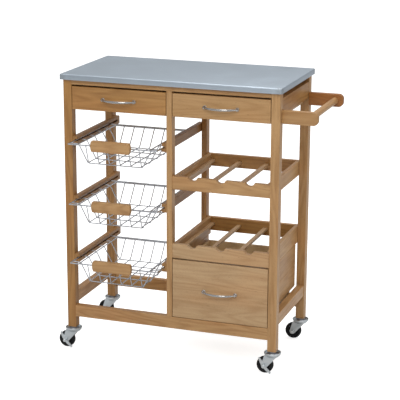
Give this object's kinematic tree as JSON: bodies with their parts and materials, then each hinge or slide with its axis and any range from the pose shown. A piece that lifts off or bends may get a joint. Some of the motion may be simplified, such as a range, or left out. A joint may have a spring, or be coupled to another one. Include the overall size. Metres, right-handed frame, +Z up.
{
  "type": "kitchen island cart",
  "caption": "Wheeled beech kitchen cart with a steel worktop, drawers, pull-out wire baskets, bottle racks and a towel rail.",
  "frame": {"origin": "on the floor, under the middle of the whole cart's box, with the baskets a little out", "axes": "+Z up, -Y towards the front with the drawers, +X towards the towel rail"},
  "size_m": [0.794, 0.4154, 0.846],
  "materials": {
    "beech": "satin lacquered beech",
    "drawer_wood": "pale unstained wood",
    "core_board": "particle board",
    "steel_top": "brushed stainless sheet",
    "bow_handle": "satin chrome",
    "basket_wire": "bright plated wire",
    "caster_zinc": "zinc plated pressed steel",
    "wheel_black": "moulded black plastic",
    "bolt_steel": "dark plated bolts"
  },
  "bodies": {
    "frame": {"basket_runners_bottom": "beech", "basket_runners_middle": "beech", "basket_runners_top": "beech", "bottom_rail_front": "beech", "bottom_rail_rear": "beech", "bottom_side_rails": "beech", "cabinet_sides": "beech", "caster_stems": "caster_zinc", "drawer_divider": "beech", "frame_bolts": "bolt_steel", "front_top_rail": "beech", "leg_front_left": "beech", "leg_front_right": "beech", "leg_rear_left": "beech", "leg_rear_right": "beech", "lower_drawer_runners": "beech", "lower_rack_battens": "beech", "lower_rack_front_rail": "beech", "lower_rack_rear_rail": "beech", "lower_rack_sides": "beech", "post_front": "beech", "post_rear": "beech", "rear_apron": "beech", "side_aprons": "beech", "top_battens": "beech", "towel_arms": "beech", "towel_bar": "beech", "upper_drawer_runners": "beech", "upper_rack_battens": "beech", "upper_rack_front_rail": "beech", "upper_rack_rear_rail": "beech", "upper_rack_sides": "beech", "worktop_core": "core_board", "worktop_skin": "steel_top"},
    "drawer_left": {"drawer_left_front": "beech", "drawer_left_box": "drawer_wood", "drawer_left_handle": "bow_handle"},
    "drawer_right": {"drawer_right_front": "beech", "drawer_right_box": "drawer_wood", "drawer_right_handle": "bow_handle"},
    "drawer_lower": {"drawer_lower_front": "beech", "drawer_lower_box": "drawer_wood", "drawer_lower_handle": "bow_handle"},
    "basket_top": {"basket_top_wires": "basket_wire", "basket_top_grip": "beech"},
    "basket_middle": {"basket_middle_wires": "basket_wire", "basket_middle_grip": "beech"},
    "basket_bottom": {"basket_bottom_wires": "basket_wire", "basket_bottom_grip": "beech"},
    "caster_front_left_swivel": {"caster_front_left_fork": "caster_zinc"},
    "caster_front_left_roller": {"caster_front_left_wheel": "wheel_black"},
    "caster_front_left_brake": {"caster_front_left_brake_lever": "caster_zinc"},
    "caster_front_right_swivel": {"caster_front_right_fork": "caster_zinc"},
    "caster_front_right_roller": {"caster_front_right_wheel": "wheel_black"},
    "caster_front_right_brake": {"caster_front_right_brake_lever": "caster_zinc"},
    "caster_rear_left_swivel": {"caster_rear_left_fork": "caster_zinc"},
    "caster_rear_left_roller": {"caster_rear_left_wheel": "wheel_black"},
    "caster_rear_right_swivel": {"caster_rear_right_fork": "caster_zinc"},
    "caster_rear_right_roller": {"caster_rear_right_wheel": "wheel_black"}
  },
  "joints": [
    {"name": "drawer_left_slide", "type": "slide", "parent": "frame", "child": "drawer_left", "axis": [0, -1, 0], "range_m": [0, 0.2]},
    {"name": "drawer_right_slide", "type": "slide", "parent": "frame", "child": "drawer_right", "axis": [0, -1, 0], "range_m": [0, 0.2]},
    {"name": "drawer_lower_slide", "type": "slide", "parent": "frame", "child": "drawer_lower", "axis": [0, -1, 0], "range_m": [0, 0.2]},
    {"name": "basket_top_slide", "type": "slide", "parent": "frame", "child": "basket_top", "axis": [0, -1, 0], "range_m": [-0.05, 0.17]},
    {"name": "basket_middle_slide", "type": "slide", "parent": "frame", "child": "basket_middle", "axis": [0, -1, 0], "range_m": [-0.05, 0.17]},
    {"name": "basket_bottom_slide", "type": "slide", "parent": "frame", "child": "basket_bottom", "axis": [0, -1, 0], "range_m": [-0.05, 0.17]},
    {"name": "caster_front_left_turn", "type": "hinge", "parent": "frame", "child": "caster_front_left_swivel", "pos_m": [-0.35, -0.12435, 0.052], "axis": [0, 0, 1], "continuous": true},
    {"name": "caster_front_left_roll", "type": "hinge", "parent": "caster_front_left_swivel", "child": "caster_front_left_roller", "pos_m": [-0.372, -0.12435, 0.025], "axis": [0, 1, 0], "continuous": true},
    {"name": "caster_front_left_brake_press", "type": "hinge", "parent": "caster_front_left_swivel", "child": "caster_front_left_brake", "pos_m": [-0.372, -0.12435, 0.025], "axis": [0, -1, 0], "range_deg": [0, 12]},
    {"name": "caster_front_right_turn", "type": "hinge", "parent": "frame", "child": "caster_front_right_swivel", "pos_m": [0.28, -0.12435, 0.052], "axis": [0, 0, 1], "continuous": true},
    {"name": "caster_front_right_roll", "type": "hinge", "parent": "caster_front_right_swivel", "child": "caster_front_right_roller", "pos_m": [0.258, -0.12435, 0.025], "axis": [0, 1, 0], "continuous": true},
    {"name": "caster_front_right_brake_press", "type": "hinge", "parent": "caster_front_right_swivel", "child": "caster_front_right_brake", "pos_m": [0.258, -0.12435, 0.025], "axis": [0, -1, 0], "range_deg": [0, 12]},
    {"name": "caster_rear_left_turn", "type": "hinge", "parent": "frame", "child": "caster_rear_left_swivel", "pos_m": [-0.35, 0.18165, 0.052], "axis": [0, 0, 1], "continuous": true},
    {"name": "caster_rear_left_roll", "type": "hinge", "parent": "caster_rear_left_swivel", "child": "caster_rear_left_roller", "pos_m": [-0.372, 0.18165, 0.025], "axis": [0, 1, 0], "continuous": true},
    {"name": "caster_rear_right_turn", "type": "hinge", "parent": "frame", "child": "caster_rear_right_swivel", "pos_m": [0.28, 0.18165, 0.052], "axis": [0, 0, 1], "continuous": true},
    {"name": "caster_rear_right_roll", "type": "hinge", "parent": "caster_rear_right_swivel", "child": "caster_rear_right_roller", "pos_m": [0.258, 0.18165, 0.025], "axis": [0, 1, 0], "continuous": true}
  ]
}
